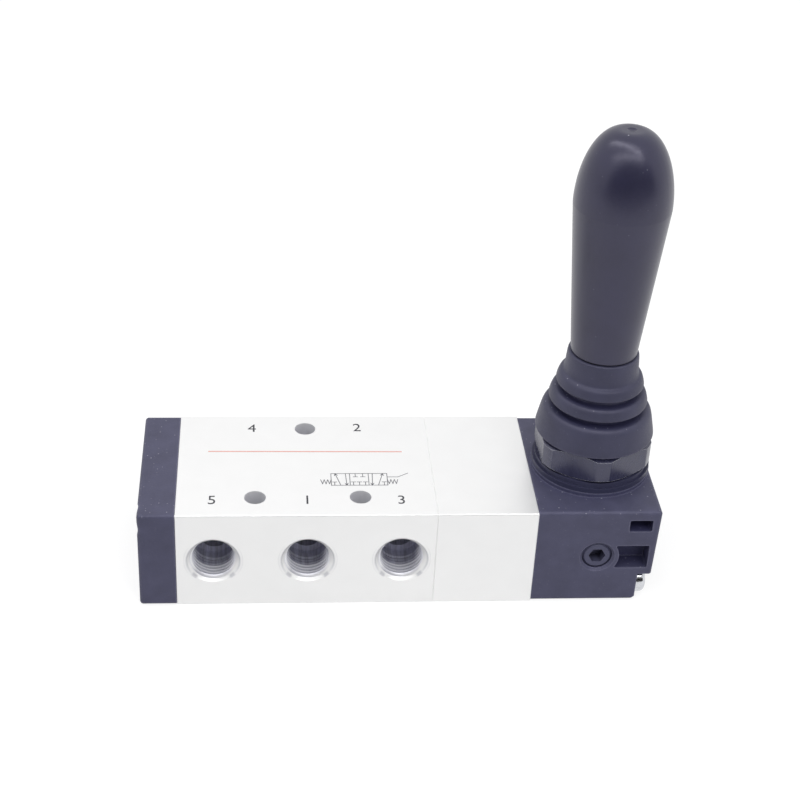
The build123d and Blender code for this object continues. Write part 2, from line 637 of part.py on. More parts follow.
def handle_insert():
    """Threaded insert moulded into the handle."""
    insert = rod_z(INSERT_R, INSERT_BOTTOM, INSERT_TOP)
    return insert - rod_z(THREAD_R + SLIP, INSERT_BOTTOM - 1, THREAD_TOP + FACE_GAP)


def boot():
    """Rubber bellows from the nut to the handle: skirt, rings and top sleeve."""
    sleeve_r = SPIGOT_R + SOFT_GAP
    foot_r = NECK_R + SOFT_GAP
    skirt_r = NECK_R + WASHER_RIM
    skirt_top = BOOT_Z + BOOT_SKIRT
    sleeve_z = BOOT_TOP - BOOT_SLEEVE
    outside = [(skirt_r, BOOT_Z), (skirt_r - BOOT_WALL, skirt_top - BOOT_WALL)]
    inside = [(foot_r, BOOT_Z), (foot_r, NECK_TOP + SOFT_GAP)]
    ring_step = (sleeve_z - skirt_top) / BOOT_RINGS
    ring_in = (foot_r - sleeve_r - BOOT_WALL) / (BOOT_RINGS + 1)
    for i in range(BOOT_RINGS):
        groove_r = foot_r - BOOT_WALL - i * ring_in
        groove_z = skirt_top + i * ring_step
        outside += [(groove_r, groove_z), (groove_r + BOOT_WALL, groove_z + ring_step * 0.3)]
        outside.append((groove_r, groove_z + ring_step * 0.9))
        inside.append((groove_r - BOOT_WALL, groove_z))
    outside += [(sleeve_r + BOOT_WALL * 1.6, sleeve_z), (sleeve_r + BOOT_WALL, BOOT_TOP)]
    inside += [(sleeve_r, sleeve_z), (sleeve_r, BOOT_TOP)]
    return lathe_z(make_face(Polyline(*outside, *reversed(inside), close=True)))


# -------------------------------------------------------------------------- the files
def write(name, shape):
    """Write one node, a single solid or a list of them."""
    if isinstance(shape, list):
        shape = Compound(children=shape)
    export_step(shape, f"parts/{name}.step")


def main():
    os.makedirs("parts", exist_ok=True)
    write("valve_body", valve_body())
    write("end_cap", end_cap())
    write("end_cap_screws", end_cap_screws())
    write("centring_block", centring_block())
    write("lever_housing", lever_housing())
    write("housing_screws", housing_screws())
    write("end_seals", end_seals())
    write("spool", spool())
    write("spool_seals", spool_seals())
    write("spring_seats", spring_seats())
    write("centring_spring_inner", spring(BLOCK_X + SEAT_THICK, COLLAR_X))
    write("centring_spring_outer", spring(CLIP_X, SEAT_FAR_X))
    write("centring_collar", centring_collar())
    write("collar_clip", collar_clip())
    write("rod_bush", rod_bush())
    write("drive_yoke", drive_yoke())
    write("yoke_pin", yoke_pin())
    write("guide_screws", guide_screws())
    write("pivot_pin", pivot_pin())
    write("lever_bush", lever_bush())
    write("lever_rod", lever_rod())
    write("handle_insert", handle_insert())
    write("lever_handle", lever_handle())
    write("boot", boot())
    write("neck_washer", neck_washer())
    write("lock_washer", lock_washer())
    write("neck_nut", neck_nut())


main()
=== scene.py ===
# %% [markdown]
# # A hand lever air valve
# The valve is a block of drawn aluminium with five threaded ports, closed by a black
# moulded cap at one end and a black lever housing at the other. The CAD model already holds
# every piece at its true size and place. This lesson dresses it: it cuts the threads, makes
# the rubber boot and the screws, prints the marks, and gives every piece its finish.

# %% Load the fixed CAD model
import json
import math

import bpy
from mathutils import Matrix, Vector

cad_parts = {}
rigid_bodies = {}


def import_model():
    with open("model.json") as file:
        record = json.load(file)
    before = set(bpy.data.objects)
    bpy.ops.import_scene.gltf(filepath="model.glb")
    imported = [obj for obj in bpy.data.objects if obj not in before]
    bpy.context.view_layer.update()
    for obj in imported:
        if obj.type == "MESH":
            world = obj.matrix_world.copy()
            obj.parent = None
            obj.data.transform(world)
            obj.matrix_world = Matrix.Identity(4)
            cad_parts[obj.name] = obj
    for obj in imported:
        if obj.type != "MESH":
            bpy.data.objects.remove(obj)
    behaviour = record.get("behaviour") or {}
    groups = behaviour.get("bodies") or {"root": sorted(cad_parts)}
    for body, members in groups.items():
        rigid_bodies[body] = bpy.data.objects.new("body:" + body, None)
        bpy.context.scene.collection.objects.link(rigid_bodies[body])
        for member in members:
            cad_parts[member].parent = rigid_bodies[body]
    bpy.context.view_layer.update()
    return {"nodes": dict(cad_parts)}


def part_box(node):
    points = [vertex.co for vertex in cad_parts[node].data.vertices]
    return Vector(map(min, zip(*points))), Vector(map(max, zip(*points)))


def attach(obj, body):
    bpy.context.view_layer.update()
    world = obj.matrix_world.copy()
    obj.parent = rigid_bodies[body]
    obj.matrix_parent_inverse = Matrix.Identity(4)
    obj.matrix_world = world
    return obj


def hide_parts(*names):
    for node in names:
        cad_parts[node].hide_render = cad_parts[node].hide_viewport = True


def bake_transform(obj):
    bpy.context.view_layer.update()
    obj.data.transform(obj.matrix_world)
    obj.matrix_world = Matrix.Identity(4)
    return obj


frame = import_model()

MM = 0.001
nodes = frame["nodes"]

# %% [markdown]
# ## Where things are
# A new piece only fits if it starts from the same numbers as the model. Typing them in again
# invites mistakes, so places come from the boxes of the CAD nodes. The ports follow the rule
# of the body: the three front ports are one pitch apart, and the two back ports lie half way
# between them.

# %% Places read from the frame
body_low, body_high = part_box("valve_body")
nut_low, nut_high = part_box("neck_nut")
boot_foot_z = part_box("boot")[0].z
lever_x = (nut_low.x + nut_high.x) / 2
top_z = body_high.z
axis_z = (body_low.z + body_high.z) / 2
port_pitch = 18.6 * MM
port_p = (body_low.x + body_high.x) / 2 + 0.3 * MM
front_ports = [port_p - port_pitch, port_p, port_p + port_pitch]
back_ports = [port_p - port_pitch / 2, port_p + port_pitch / 2]
port_radius = 4.25 * MM
print("lever axis x", round(lever_x / MM, 2), "top face z", round(top_z / MM, 2))

# %% [markdown]
# ## The camera
# A long lens stands in front and a little to the left, and looks down at about a third of
# a right angle. A camera could be aimed at a point, but then it could not lean. So its turn
# is built from three simple turns: yaw about the upright, then pitch, then a slight roll
# about its own view.

# %% Camera
def add_camera(place, yaw, pitch, roll, lens):
    """A camera at a place, turned from looking along +Y by yaw, then pitch, then roll."""
    data = bpy.data.cameras.new("view")
    data.lens = lens
    data.clip_start = 10 * MM
    camera = bpy.data.objects.new("view", data)
    bpy.context.scene.collection.objects.link(camera)
    turn = Matrix.Rotation(-yaw, 4, "Z") @ Matrix.Rotation(math.pi / 2 - pitch, 4, "X")
    camera.matrix_world = Matrix.Translation(place) @ turn @ Matrix.Rotation(roll, 4, "Z")
    bpy.context.scene.camera = camera
    return camera


camera = add_camera(Vector((-28.556, -280.950, 219.012)) * MM, yaw=math.radians(5.776),
                    pitch=math.radians(32.747), roll=math.radians(3.1415), lens=76.009)
print("camera", [round(v / MM) for v in camera.location], "mm, lens", camera.data.lens)

# %% [markdown]
# ## Selecting in code
# Every operator acts on what is selected, whether or not it was meant to. These helpers do
# what a hand does with the mouse: clear the selection, enter edit mode, and pick faces or
# edges by place. Picking by place keeps working when the number of faces changes, which a
# list of face numbers would not.

# %% Helpers for modelling with operators
def only(piece):
    """Make one object the only selected one, and the active one."""
    bpy.ops.object.select_all(action="DESELECT")
    piece.hide_set(False)
    piece.select_set(True)
    bpy.context.view_layer.objects.active = piece


def newest(name):
    """Name the primitive that an operator has just added."""
    piece = bpy.context.active_object
    piece.name = name
    piece.data.name = name
    return piece


def pick(piece, kind, test):
    """In edit mode, select only the vertices, edges or faces that pass a test."""
    bpy.ops.object.mode_set(mode="OBJECT")
    mesh = piece.data
    for group in (mesh.vertices, mesh.edges, mesh.polygons):
        group.foreach_set("select", [False] * len(group))
    chosen = [item for item in getattr(mesh, kind) if test(item)]
    for item in chosen:
        item.select = True
    bpy.ops.object.mode_set(mode="EDIT")
    mode = {"vertices": "VERT", "edges": "EDGE", "polygons": "FACE"}[kind]
    bpy.ops.mesh.select_mode(type=mode)
    return len(chosen)


# %% Helpers that finish a piece
merge_reach = 0.001 * MM


def apply_modifier(piece, kind, **settings):
    """Add a modifier, set it up and apply it at once."""
    only(piece)
    bpy.ops.object.modifier_add(type=kind)
    modifier = piece.modifiers[-1]
    for key, value in settings.items():
        setattr(modifier, key, value)
    bpy.ops.object.modifier_apply(modifier=modifier.name)


def carve(piece, tool, operation):
    """Cut a tool's shape from a piece, or keep only what lies in it; the tool is deleted."""
    apply_modifier(piece, "BOOLEAN", object=tool, operation=operation, solver="EXACT")
    only(tool)
    bpy.ops.object.delete()
    only(piece)


def settle(piece, smooth_angle=30, merge=True):
    """Put the place into the mesh, face outwards, and smooth all but the sharp edges."""
    only(piece)
    bpy.ops.object.transform_apply()
    bpy.ops.object.mode_set(mode="EDIT")
    bpy.ops.mesh.select_all(action="SELECT")
    if merge:
        bpy.ops.mesh.remove_doubles(threshold=merge_reach)
    bpy.ops.mesh.normals_make_consistent(inside=False)
    bpy.ops.object.mode_set(mode="OBJECT")
    bpy.ops.object.shade_smooth_by_angle(angle=math.radians(smooth_angle))
    print("made", piece.name, "with", len(piece.data.polygons), "faces")
    return piece


def join(pieces, name):
    """Join several pieces into one object."""
    bpy.ops.object.select_all(action="DESELECT")
    for piece in pieces:
        piece.select_set(True)
    bpy.context.view_layer.objects.active = pieces[0]
    bpy.ops.object.join()
    pieces[0].name = name
    return pieces[0]


def turn(piece, degrees, axis, centre=(0, 0, 0)):
    """Turn an object about a point and put the turn into its mesh."""
    only(piece)
    bpy.ops.transform.rotate(value=math.radians(degrees), orient_axis=axis,
                             center_override=centre)
    bpy.ops.object.transform_apply()


def place_at(piece, place):
    """Move an object from the origin to its place and put that into its mesh."""
    piece.location = place
    bpy.ops.object.transform_apply()


print("points merge within", round(merge_reach / MM, 3), "mm")

# %% [markdown]
# ## The threads in the ports
# The CAD ports are plain core holes, because a thread is too fine for that model. On the
# real valve a tap cuts a V groove that climbs round the hole. The cutter here is the same
# thing: a small triangle swept along a helix by the Screw modifier, then taken from a
# merged copy of the body with a Boolean. A bump pattern would not catch the light at the
# lip of the hole as real grooves do.

# %% A helical cutter
thread_pitch = 0.907 * MM
thread_depth = 0.66 * MM
thread_half_width = 0.42 * thread_pitch
thread_overlap = 0.06 * MM
thread_start = 0.36 * MM
thread_turns = 7
thread_steps = 40


def thread_cutter(x, side):
    """A closed V-shaped helix round one port, cut from the mouth inwards."""
    bpy.ops.mesh.primitive_circle_add(vertices=3, radius=thread_pitch / 2, fill_type="NGON")
    cutter = newest("thread_cutter")
    inner = port_radius - thread_overlap
    corners = [(inner, -thread_half_width), (inner, thread_half_width), (inner + thread_depth, 0)]
    for vertex, (radius, height) in zip(cutter.data.vertices, corners):
        vertex.co = (radius, 0, height)
    apply_modifier(cutter, "SCREW", angle=2 * math.pi, screw_offset=thread_pitch,
                   iterations=thread_turns, steps=thread_steps, render_steps=thread_steps,
                   use_smooth_shade=False)
    bpy.ops.object.mode_set(mode="EDIT")
    bpy.ops.mesh.select_all(action="SELECT")
    bpy.ops.mesh.remove_doubles(threshold=merge_reach)
    bpy.ops.mesh.fill_holes(sides=3)
    bpy.ops.mesh.normals_make_consistent(inside=False)
    bpy.ops.object.mode_set(mode="OBJECT")
    turn(cutter, 90 if side < 0 else -90, "X")
    face_y = body_low.y if side < 0 else body_high.y
    place_at(cutter, (x, face_y - side * thread_start, axis_z))
    return cutter


cutters = [thread_cutter(x, -1) for x in front_ports] + [thread_cutter(x, 1) for x in back_ports]
thread_tool = join(cutters, "thread_tool")
print("thread tool:", len(thread_tool.data.polygons), "faces")

# %% The body with its threads
def merged_copy(node, name):
    """A copy of a CAD node with its loose triangles merged into one closed mesh."""
    piece = bpy.data.objects.new(name, nodes[node].data.copy())
    bpy.context.scene.collection.objects.link(piece)
    only(piece)
    bpy.ops.mesh.customdata_custom_splitnormals_clear()
    bpy.ops.object.mode_set(mode="EDIT")
    bpy.ops.mesh.select_all(action="SELECT")
    bpy.ops.mesh.remove_doubles(threshold=merge_reach)
    bpy.ops.object.mode_set(mode="OBJECT")
    return piece


threaded_body = merged_copy("valve_body", "threaded_body")
carve(threaded_body, thread_tool, "DIFFERENCE")
bpy.ops.object.shade_smooth_by_angle(angle=math.radians(28))
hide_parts("valve_body")
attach(threaded_body, "root")
print("threaded body:", len(threaded_body.data.polygons), "faces")

# %% [markdown]
# ## The rubber boot
# A bellows keeps dirt out of the neck and bends as the lever tilts. It could be stacked from
# separate rings, but they would part when it bends, so it is one closed wall; here it is not
# made to bend. It starts as one circle at the foot. Each ring of its outline is extruded from
# the last one, scaled to its radius and lifted to its height, as a potter pulls up a wall. The
# inner wall comes back down in the same way, and the last ring is bridged to the first. A
# Subdivision Surface rounds it, and two rings close together keep a lip crisp.

# %% Rings of the boot, as radius and height above its foot, in mm
boot_outside = [
    (12.0, 0.0), (12.0, 0.25), (11.86, 1.0), (11.25, 4.0), (11.02, 4.8), (10.78, 5.32),
    (10.4, 5.66), (9.9, 5.82), (8.7, 5.84), (8.2, 6.02), (8.1, 6.35), (8.3, 6.68),
    (9.2, 6.95), (9.75, 7.15), (9.94, 7.45), (9.86, 7.9), (9.6, 8.8), (9.42, 9.22),
    (9.12, 9.52), (8.7, 9.68), (7.6, 9.7), (7.25, 9.88), (7.2, 10.2), (7.4, 10.5),
    (8.1, 10.8), (8.62, 11.02), (8.8, 11.3), (8.72, 11.75), (8.44, 12.65), (8.28, 13.02),
    (8.0, 13.3), (7.62, 13.46), (7.42, 13.72), (7.34, 14.4), (7.22, 16.4), (7.1, 17.7),
    (7.02, 18.02), (6.8, 18.15)]
boot_inside = [
    (6.2, 18.15), (5.98, 18.0), (5.96, 17.4), (6.0, 14.4), (6.5, 13.0), (7.2, 12.2),
    (7.3, 11.5), (6.6, 10.8), (6.2, 10.2), (6.3, 9.5), (7.2, 8.9), (8.2, 8.3), (8.3, 7.7),
    (7.4, 7.0), (7.1, 6.2), (7.7, 5.2), (9.0, 4.5), (9.8, 3.8), (10.15, 2.6), (10.25, 1.0),
    (10.25, 0.2), (10.4, 0.0)]
print("rings of the boot:", len(boot_outside), "outside,", len(boot_inside), "inside")

# %% Pull up the boot ring by ring
def turned_shell(name, rings, x, foot_z, sides):
    """A closed turned shell: a circle, extruded ring by ring, then bridged to its start."""
    centre = Vector((x, 0, foot_z))
    radius, height = rings[0]
    bpy.ops.mesh.primitive_circle_add(vertices=sides, radius=radius * MM,
                                      location=centre + Vector((0, 0, height * MM)))
    piece = newest(name)
    bpy.ops.object.transform_apply()
    bpy.ops.object.mode_set(mode="EDIT")
    bpy.ops.mesh.select_mode(type="EDGE")
    bpy.ops.mesh.select_all(action="SELECT")
    for next_radius, next_height in rings[1:]:
        grow = next_radius / radius
        bpy.ops.mesh.extrude_edges_move(
            TRANSFORM_OT_translate={"value": (0, 0, (next_height - height) * MM)})
        bpy.ops.transform.resize(value=(grow, grow, 1), center_override=centre)
        radius, height = next_radius, next_height
    bpy.ops.mesh.select_non_manifold(extend=False)
    bpy.ops.mesh.bridge_edge_loops()
    bpy.ops.object.mode_set(mode="OBJECT")
    return piece


rubber_boot = turned_shell("rubber_boot", boot_outside + boot_inside, lever_x, boot_foot_z, 48)
apply_modifier(rubber_boot, "SUBSURF", levels=2, render_levels=2)
settle(rubber_boot, 60)
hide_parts("boot")
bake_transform(rubber_boot)
print("boot height in mm:", round(rubber_boot.dimensions.z / MM, 2))

# %% [markdown]
# ## The centring springs
# Inside the aluminium block, a spring on each side of the collar pushes the spool back to
# the middle. One end of each spring rests on a seat that stays still, and the other end on
# the collar that moves. A stiff copy would run into the collar, and here each spring is such
# a copy: a merged copy of its CAD node that does not move.

# %% Springs between seat and collar
def live_spring(node, name):
    """A merged copy of a CAD spring that takes the place of the node."""
    spring = settle(merged_copy(node, name))
    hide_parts(node)
    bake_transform(spring)


low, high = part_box("centring_spring_inner")
live_spring("centring_spring_inner", "inner_spring")
low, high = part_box("centring_spring_outer")
live_spring("centring_spring_outer", "outer_spring")

# %% [markdown]
# ## The collar nut
# A nut is cut from hexagonal bar whose corners are first turned down, so each corner is a
# narrow curved strip and each flat ends in an arc. The CAD nut is the plain hexagon. A bevel
# would make the corners flat, so a copy of it is turned instead: it keeps only what lies
# inside a drum with chamfered rims.

# %% Turn the corners of the nut
nut_turned_radius = 12.0 * MM
nut_chamfer = 0.35 * MM
nut_turn_degrees = 3.7


def turned_drum(radius, low_z, high_z, chamfer):
    """A solid drum about the lever's axis with chamfered rims."""
    bpy.ops.mesh.primitive_cylinder_add(vertices=128, radius=radius, depth=high_z - low_z,
                                        location=(lever_x, 0, (low_z + high_z) / 2))
    drum = newest("turned_drum")
    bpy.ops.object.transform_apply()
    height = [vertex.co.z for vertex in drum.data.vertices]
    rims = pick(drum, "edges", lambda edge: abs(
        height[edge.vertices[0]] - height[edge.vertices[1]]) < merge_reach)
    bpy.ops.mesh.bevel(offset=chamfer, segments=3, affect="EDGES")
    bpy.ops.object.mode_set(mode="OBJECT")
    print("drum with", rims, "rim edges bevelled")
    return drum


collar_nut = merged_copy("neck_nut", "collar_nut")
drum = turned_drum(nut_turned_radius, nut_low.z, nut_high.z, nut_chamfer)
carve(collar_nut, drum, "INTERSECT")
turn(collar_nut, nut_turn_degrees, "Z", (lever_x, 0, 0))
settle(collar_nut, 24)
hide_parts("neck_nut")
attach(collar_nut, "root")

# %% [markdown]
# ## Pan head screws
# Four screws along the valve hold its ends. Each head is a low drum with a round rim and a
# cross recess. One screw is modelled upright at the origin: the rim is a bevel with several
# segments, the shank is an inset of the underside pulled down, and the cross is cut by two
# blades that taper towards their tips. Upright, every size is a plain number; only then is
# the screw laid along the valve. All four are made by the same steps.

# %% One screw, head up
head_radius = 2.8 * MM
head_height = 2.2 * MM
head_round = 1.1 * MM
shank_radius = 1.5 * MM
blade_size = Vector((3.1, 0.78, 1.7)) * MM
blade_taper = (0.42, 0.6, 1)
blade_sink = 0.55 * MM
cross_angles = (25, 65)


def recess_blade(angle):
    """One tapered blade of the cross: wide at the top, narrow at its tip."""
    bpy.ops.mesh.primitive_cube_add(size=1, location=(0, 0, head_height - blade_sink))
    blade = newest("recess_blade")
    blade.scale = blade_size
    bpy.ops.object.transform_apply()
    pick(blade, "polygons", lambda face: face.normal.z < -0.9)
    bpy.ops.transform.resize(value=blade_taper)
    bpy.ops.object.mode_set(mode="OBJECT")
    turn(blade, angle, "Z")
    return blade


def pan_screw(name, shank_length, angle):
    """A pan head screw: its head stands on z = 0 and its shank hangs below."""
    bpy.ops.mesh.primitive_cylinder_add(vertices=48, radius=head_radius, depth=head_height,
                                        location=(0, 0, head_height / 2))
    screw = newest(name)
    bpy.ops.object.transform_apply()
    pick(screw, "edges", lambda edge: all(
        screw.data.vertices[i].co.z > 0.99 * head_height for i in edge.vertices))
    bpy.ops.mesh.bevel(offset=head_round, segments=6, profile=0.5, affect="EDGES")
    pick(screw, "polygons", lambda face: face.normal.z < -0.9)
    bpy.ops.mesh.inset(thickness=head_radius - shank_radius)
    bpy.ops.mesh.extrude_region_move(TRANSFORM_OT_translate={"value": (0, 0, -shank_length)})
    bpy.ops.object.mode_set(mode="OBJECT")
    for blade in (recess_blade(angle), recess_blade(angle + 90)):
        carve(screw, blade, "DIFFERENCE")
    return screw


print("screw head", round(2 * head_radius / MM, 1), "mm wide")

# %% The screws in their places
def lay_screw(screw, degrees, place):
    """Lay an upright screw along X and move its head to its place."""
    turn(screw, degrees, "Y")
    place_at(screw, place)
    return screw


def screw_pair(node, name, places, degrees, head_x, shank_end_x):
    """The two screws at one end of the valve, in place of their CAD node."""
    length = abs(head_x - shank_end_x)
    pair = [lay_screw(pan_screw(name, length, angle), degrees, (head_x, *place))
            for angle, place in zip(cross_angles, places)]
    piece = settle(join(pair, name))
    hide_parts(node)
    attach(piece, "root")
    low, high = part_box(node)
    print(name, "x from", round(low.x / MM, 2), "to", round(high.x / MM, 2), "mm")


screw_y = 14.2 * MM
screw_low = 3.3 * MM
screw_high = 18.7 * MM
low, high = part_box("housing_screws")
screw_pair("housing_screws", "housing_pan_screws", [(-screw_y, screw_low), (screw_y, screw_high)],
           -90, high.x - head_height, low.x)
low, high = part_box("end_cap_screws")
screw_pair("end_cap_screws", "cap_pan_screws", [(-screw_y, screw_high), (screw_y, screw_low)],
           90, low.x + head_height, high.x)

# %% [markdown]
# ## The printed marks
# The top face carries a thin ink print: a plain number by each port, a fine red line and
# the standard drawing of a five port, three position valve. Ink has almost no thickness,
# so each mark is a flat shape a fiftieth of a millimetre high that stands on the face. An
# image would blur close up, and a shape keeps its edge. Numbers start as text, and lines as
# a plane that is stretched and given round ends.

# %% Numbers by the ports
ink_height = 0.02 * MM
ink_sink = 0.1 * ink_height
digit_height = 2.75 * MM
digit_narrowing = 0.92


def printed_number(digit, x, y):
    """A digit printed on the top face."""
    bpy.ops.object.text_add(location=(0, 0, 0))
    text = newest("number_" + digit)
    text.data.body = digit
    text.data.align_x = "CENTER"
    text.data.align_y = "CENTER"
    text.data.extrude = ink_height / 2
    bpy.ops.object.convert(target="MESH")
    mark = bpy.context.active_object
    grow = digit_height / mark.dimensions.y
    mark.scale = (digit_narrowing * grow, grow, 1)
    mark.location = (x, y, top_z + ink_height / 2 - ink_sink)
    return mark


number_places = {"4": (-29.5, 12.8), "2": (-7.6, 13.0), "5": (-37.3, -12.4),
                 "1": (-18.6, -12.5), "3": (0.0, -12.6)}
numbers = [printed_number(digit, x * MM, y * MM) for digit, (x, y) in number_places.items()]
port_numbers = settle(join(numbers, "port_numbers"))
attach(port_numbers, "root")

# %% Lines of the print
end_round_share = 0.42
barb_length = 0.75
barb_lean = 0.42


def ink_line(start, end, width):
    """A flat line with round ends between two points of the top face, in mm."""
    start, end = Vector((*start, 0)) * MM, Vector((*end, 0)) * MM
    run = end - start
    bpy.ops.mesh.primitive_plane_add(size=1)
    line = newest("ink_line")
    line.scale = (run.length + width * MM, width * MM, 1)
    bpy.ops.object.transform_apply()
    bpy.ops.object.mode_set(mode="EDIT")
    bpy.ops.mesh.select_all(action="SELECT")
    bpy.ops.mesh.bevel(offset=end_round_share * width * MM, segments=2, affect="VERTICES")
    bpy.ops.mesh.select_all(action="SELECT")
    bpy.ops.mesh.extrude_region_move(TRANSFORM_OT_translate={"value": (0, 0, ink_height)})
    bpy.ops.object.mode_set(mode="OBJECT")
    line.rotation_euler.z = math.atan2(run.y, run.x)
    place_at(line, (start + end) / 2 + Vector((0, 0, top_z - ink_sink)))
    return line


def ink_path(points, width):
    """Lines from point to point."""
    return [ink_line(a, b, width) for a, b in zip(points, points[1:])]


def ink_arrow(start, end, width):
    """A line with a small open arrow head at its end."""
    back = (Vector(start) - Vector(end)).normalized() * barb_length
    lines = [ink_line(start, end, width)]
    for side in (-barb_lean, barb_lean):
        barb = Vector(end) + Matrix.Rotation(side, 2) @ back
        lines.append(ink_line(end, barb, width))
    return lines


red_line = ink_line((-38.25, 4.5), (1.1, 4.2), 0.3)
red_line.name = "red_line"
settle(red_line)
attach(red_line, "root")

# %% The drawing of the valve's three positions, in mm
box_left, box_right, box_low, box_high = -13.66, -2.38, -7.5, -3.5
box_width = (box_right - box_left) / 3
pen = 0.15
stub = 0.28
half_bar = 0.12
coil = 0.35


def in_box(i, across, up):
    """A point in one of the three boxes, from 0 to 1 across and up."""
    return (box_left + (i + across) * box_width, box_low + up * (box_high - box_low))


def closed_port(i, across, up):
    """A stub with a bar across it, that starts at the bottom (0) or the top (1) of a box."""
    tip = stub if up == 0 else 1 - stub
    return [ink_line(in_box(i, across, up), in_box(i, across, tip), pen),
            ink_line(in_box(i, across - half_bar, tip), in_box(i, across + half_bar, tip), pen)]


strokes = ink_path([(box_left, box_low), (box_right, box_low), (box_right, box_high),
                    (box_left, box_high), (box_left, box_low)], pen)
for i in (1, 2):
    strokes.append(ink_line(in_box(i, 0, 0), in_box(i, 0, 1), pen))
for i, tail, tip, closed in ((0, 0.5, 0.22, 0.82), (2, 0.5, 0.78, 0.18)):
    strokes += ink_arrow(in_box(i, tail, 0), in_box(i, tip, 1), pen)
    strokes += ink_arrow(in_box(i, 1 - tip, 1), in_box(i, closed, 0), pen)
    strokes += closed_port(i, 1 - closed, 0)
for across, up in ((0.18, 0), (0.5, 0), (0.82, 0), (0.3, 1), (0.7, 1)):
    strokes += closed_port(1, across, up)
for side_x, step in ((box_left, -coil), (box_right, coil)):
    zigzag = [(side_x + step * i, box_low + (0.5 if i % 2 else 1.9)) for i in range(7)]
    strokes += ink_path(zigzag, pen)
lever_foot = (box_right, box_high - 1.2)
lever_bend = (box_right + 2.2, box_high - 1.2)
lever_tip = (box_right + 4.3, box_high + 0.1)
strokes += ink_path([lever_foot, lever_bend, lever_tip], pen)
print("strokes in the drawing:", len(strokes))
valve_symbol = settle(join(strokes, "valve_symbol"), merge=False)
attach(valve_symbol, "root")

# %% [markdown]
# ## Shader groups
# The same small effects come back in many finishes: the fine grain of a moulding or a
# blasted surface, dust that settles on what faces up, a lighter line along an edge that is
# partly rub and partly painted highlight, painted shade in a crease, and fine streaks. Each
# is built once as a node group with named sockets, so one change reaches every finish. They
# read Object coordinates, which stay with the surface when the lever moves.

# %% Helpers for nodes
def add_node(tree, kind, inputs=None, **settings):
    """Add a node; an input given as a socket is linked, any other is set as a value."""
    node = tree.nodes.new(kind)
    for key, value in settings.items():
        setattr(node, key, value)
    for key, value in (inputs or {}).items():
        if isinstance(value, bpy.types.NodeSocket):
            tree.links.new(value, node.inputs[key])
        else:
            node.inputs[key].default_value = value
    return node


def math_node(tree, operation, a, b=0.0, clamp=False):
    """One sum of two values; returns its result."""
    return add_node(tree, "ShaderNodeMath", {0: a, 1: b}, operation=operation,
                    use_clamp=clamp).outputs[0]


def product(tree, first, *others, clamp=False):
    """Several values multiplied together."""
    for other in others:
        first = math_node(tree, "MULTIPLY", first, other, clamp)
    return first


def map_range(tree, value, low, high, to_low=0.0, to_high=1.0):
    """Stretch a value from one range to another, clamped."""
    node = add_node(tree, "ShaderNodeMapRange", {"Value": value, "From Min": low,
                    "From Max": high, "To Min": to_low, "To Max": to_high})
    return node.outputs["Result"]


def from_noise(tree, noise, low, high):
    """Noise keeps mostly between 0.3 and 0.7; stretch that to a range of its own."""
    return map_range(tree, noise, 0.3, 0.7, low, high)


# %% Helpers for node groups
def new_group(name, **inputs):
    """An empty node group with float inputs; returns it with the sockets that give them."""
    group = bpy.data.node_groups.new(name, "ShaderNodeTree")
    for label, value in inputs.items():
        socket = group.interface.new_socket(name=label, in_out="INPUT",
                                            socket_type="NodeSocketFloat")
        socket.default_value = value
    return group, group.nodes.new("NodeGroupInput").outputs


def close_group(group, **results):
    """Give a group one float output for each result; returns the finished group."""
    for label in results:
        group.interface.new_socket(name=label, in_out="OUTPUT", socket_type="NodeSocketFloat")
    leave = group.nodes.new("NodeGroupOutput")
    for label, value in results.items():
        group.links.new(value, leave.inputs[label])
    print("group", group.name, "with", len(group.nodes), "nodes")
    return group


def object_place(tree):
    """The point being shaded, in the object's own coordinates."""
    return add_node(tree, "ShaderNodeTexCoord").outputs["Object"]


print("node groups before the first:", len(bpy.data.node_groups))

# %% Fine grain
def make_grain_group():
    """Fine even grain: a height for the bump and a slow drift in tone around 1."""
    group, given = new_group("fine_grain", Scale=4000.0, Drift=0.06)
    place = object_place(group)
    fine = add_node(group, "ShaderNodeTexNoise", {"Vector": place, "Scale": given["Scale"],
                    "Detail": 2.0, "Roughness": 0.6}).outputs["Fac"]
    slow_scale = product(group, given["Scale"], 0.06)
    slow = add_node(group, "ShaderNodeTexNoise", {"Vector": place, "Scale": slow_scale,
                    "Detail": 3.0}).outputs["Fac"]
    swing = product(group, from_noise(group, slow, -1.0, 1.0), given["Drift"])
    return close_group(group, Height=fine, Tone=math_node(group, "ADD", swing, 1))


fine_grain = make_grain_group()

# %% Dust on upward faces
def make_dust_group():
    """Sparse pale specks, most of them on faces that look up."""
    group, given = new_group("dust_specks", Scale=900.0, Size=0.2, Share=0.1, Sideways=0.2)
    cells = add_node(group, "ShaderNodeTexVoronoi", {"Vector": object_place(group),
                     "Scale": given["Scale"]}, feature="F1")
    near = math_node(group, "LESS_THAN", cells.outputs["Distance"], given["Size"])
    chance = add_node(group, "ShaderNodeSeparateColor", {"Color": cells.outputs["Color"]}).outputs
    chosen = math_node(group, "LESS_THAN", chance["Red"], given["Share"])
    normal = add_node(group, "ShaderNodeTexCoord").outputs["Normal"]
    upward = add_node(group, "ShaderNodeSeparateXYZ", {"Vector": normal}).outputs["Z"]
    facing = math_node(group, "MAXIMUM", map_range(group, upward, 0.2, 0.9), given["Sideways"])
    return close_group(group, Mask=product(group, near, chosen, chance["Green"], facing))


dust_specks = make_dust_group()

